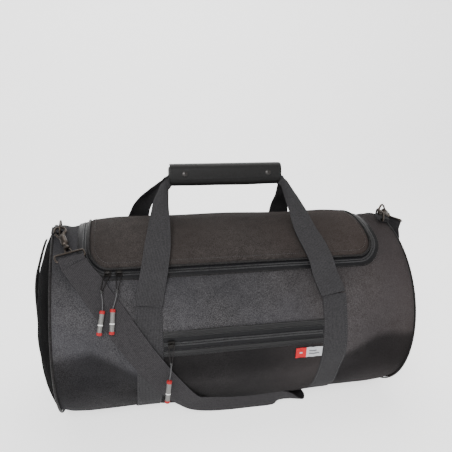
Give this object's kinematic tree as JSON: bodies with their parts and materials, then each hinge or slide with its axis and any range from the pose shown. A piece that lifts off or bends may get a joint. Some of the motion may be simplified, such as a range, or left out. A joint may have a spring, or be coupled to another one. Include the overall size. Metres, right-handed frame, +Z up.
{
  "type": "duffel bag",
  "caption": "Round barrel duffel bag with a zipped lid, a zipped front pocket, webbing handles with a padded snap grip, and a shoulder strap on snap hooks.",
  "frame": {"origin": "middle of the base on the floor", "axes": "+X along the barrel to the right seen from the pocket side, -Y is the pocket side, +Z up"},
  "size_m": [0.6279, 0.3161, 0.3948],
  "materials": {
    "woven_fabric": "coarse matt weave",
    "lining": "thin smooth lining",
    "board": "stiff base board",
    "piping": "corded piping",
    "tape": "zip tape",
    "coil": "nylon zip coil",
    "welt": "ribbed coated welt",
    "label": "woven label",
    "webbing": "ribbed webbing",
    "plastic": "moulded plastic",
    "grip_leather": "matt leatherette",
    "foam": "soft padding",
    "gunmetal": "dark gunmetal",
    "nickel": "dark nickel plate",
    "cord": "braided cord",
    "pull_plastic": "moulded pull"
  },
  "bodies": {
    "bag": {"barrel_panel": "woven_fabric", "barrel_lining": "lining", "base_board": "board", "end_panel_left": "woven_fabric", "end_panel_right": "woven_fabric", "end_pipings": "piping", "zip_tape_body": "tape", "zip_coil_body": "coil", "pocket_panel": "woven_fabric", "pocket_lining": "lining", "pocket_zip_tapes": "tape", "pocket_zip_coil": "coil", "pocket_welt_upper": "welt", "pocket_welt_lower": "welt", "front_label": "label", "webbing_band_left": "webbing", "webbing_band_right": "webbing", "ring_tabs": "webbing", "end_handle_left": "webbing", "end_handle_right": "webbing", "hook_swivel_left": "nickel", "hook_swivel_right": "nickel", "strap_end_folds": "webbing", "shoulder_strap": "webbing", "strap_adjuster": "plastic"},
    "lid": {"lid_panel": "woven_fabric", "lid_lining": "lining", "lid_piping": "piping", "zip_tape_lid": "tape", "zip_coil_lid": "coil"},
    "handle_front": {"handle_front_webbing": "webbing", "handle_front_roots": "webbing", "grip_cover_front": "grip_leather", "grip_pad_front": "foam", "grip_snap_studs": "gunmetal"},
    "handle_rear": {"handle_rear_webbing": "webbing", "grip_cover_rear": "grip_leather", "grip_pad_rear": "foam"},
    "flap": {"grip_flap": "grip_leather", "grip_snap_caps": "gunmetal"},
    "slider_left": {"zip_slider_left": "gunmetal"},
    "slider_right": {"zip_slider_right": "gunmetal"},
    "slider_pocket": {"pocket_slider": "gunmetal"},
    "pull_left": {"pull_tab_left": "nickel", "pull_cord_left": "cord", "pull_grip_left": "pull_plastic"},
    "pull_right": {"pull_tab_right": "nickel", "pull_cord_right": "cord", "pull_grip_right": "pull_plastic"},
    "pull_pocket": {"pull_tab_pocket": "nickel", "pull_cord_pocket": "cord", "pull_grip_pocket": "pull_plastic"},
    "d_ring_left": {"ring_left": "nickel"},
    "d_ring_right": {"ring_right": "nickel"},
    "snap_hook_left": {"hook_left": "nickel"},
    "snap_hook_right": {"hook_right": "nickel"},
    "gate_left": {"hook_gate_left": "nickel"},
    "gate_right": {"hook_gate_right": "nickel"}
  },
  "joints": [
    {"name": "lid_hinge", "type": "hinge", "parent": "bag", "child": "lid", "pos_m": [0, 0.1088, 0.2565], "axis": [-1, 0, 0], "range_deg": [0, 120]},
    {"name": "handle_front_fold", "type": "hinge", "parent": "bag", "child": "handle_front", "pos_m": [0, -0.143, 0.2088], "axis": [1, 0, 0], "range_deg": [0, 180]},
    {"name": "handle_rear_fold", "type": "hinge", "parent": "bag", "child": "handle_rear", "pos_m": [0, 0.143, 0.2088], "axis": [-1, 0, 0], "range_deg": [0, 180]},
    {"name": "grip_flap_fold", "type": "hinge", "parent": "handle_rear", "child": "flap", "pos_m": [0, 0.006, 0.3941], "axis": [-1, 0, 0], "range_deg": [0, 150]},
    {"name": "slider_right_travel", "type": "slide", "parent": "bag", "child": "slider_right", "axis": [1, 0, 0], "range_m": [0, 0.349], "deforming": ["handle_front_roots"]},
    {"name": "slider_left_travel", "type": "slide", "parent": "bag", "child": "slider_left", "axis": [1, 0, 0], "range_m": [0, 0.349]},
    {"name": "slider_pocket_travel", "type": "slide", "parent": "bag", "child": "slider_pocket", "axis": [1, 0, 0], "range_m": [0, 0.222]},
    {"name": "pull_left_swing", "type": "hinge", "parent": "slider_left", "child": "pull_left", "pos_m": [-0.1942, -0.11765, 0.25405], "axis": [-1, 0, 0], "range_deg": [0, 100]},
    {"name": "pull_right_swing", "type": "hinge", "parent": "slider_right", "child": "pull_right", "pos_m": [-0.1785, -0.11765, 0.25405], "axis": [-1, 0, 0], "range_deg": [0, 100]},
    {"name": "pull_pocket_swing", "type": "hinge", "parent": "slider_pocket", "child": "pull_pocket", "pos_m": [-0.11, -0.15758, 0.15375], "axis": [1, 0, 0], "range_deg": [-100, 0]},
    {"name": "ring_left_tilt", "type": "hinge", "parent": "bag", "child": "d_ring_left", "pos_m": [-0.262, -0.0375, 0.3014], "axis": [0, 0.9703, 0.2419], "range_deg": [-12, 12]},
    {"name": "ring_right_tilt", "type": "hinge", "parent": "bag", "child": "d_ring_right", "pos_m": [0.262, -0.0375, 0.3014], "axis": [0, 0.9703, 0.2419], "range_deg": [-5, 5]},
    {"name": "hook_left_swivel", "type": "hinge", "parent": "bag", "child": "snap_hook_left", "pos_m": [-0.25118, -0.08112, 0.28432], "axis": [-0.2924, 0.802, 0.5208], "range_deg": [-12, 12]},
    {"name": "hook_right_swivel", "type": "hinge", "parent": "bag", "child": "snap_hook_right", "pos_m": [0.28706, -0.01823, 0.30217], "axis": [-0.6773, -0.6234, 0.3907], "range_deg": [-15, 15]},
    {"name": "gate_left_spring", "type": "hinge", "parent": "snap_hook_left", "child": "gate_left", "pos_m": [-0.26173, -0.06453, 0.29509], "axis": [0, 0.5446, -0.8387], "range_deg": [0, 20], "stiffness_Nm_per_rad": 0.004, "springref_deg": -5.73},
    {"name": "gate_right_spring", "type": "hinge", "parent": "snap_hook_right", "child": "gate_right", "pos_m": [0.27398, -0.0315, 0.31464], "axis": [0.6018, -0.7749, -0.1932], "range_deg": [0, 20], "stiffness_Nm_per_rad": 0.004, "springref_deg": -5.73}
  ],
  "couplings": [
    {"joint": "handle_front_fold", "follows": "lid_hinge", "ratio": 1.5},
    {"joint": "handle_rear_fold", "follows": "lid_hinge", "ratio": 1.5},
    {"joint": "slider_left_travel", "follows": "slider_right_travel", "ratio": 1}
  ]
}
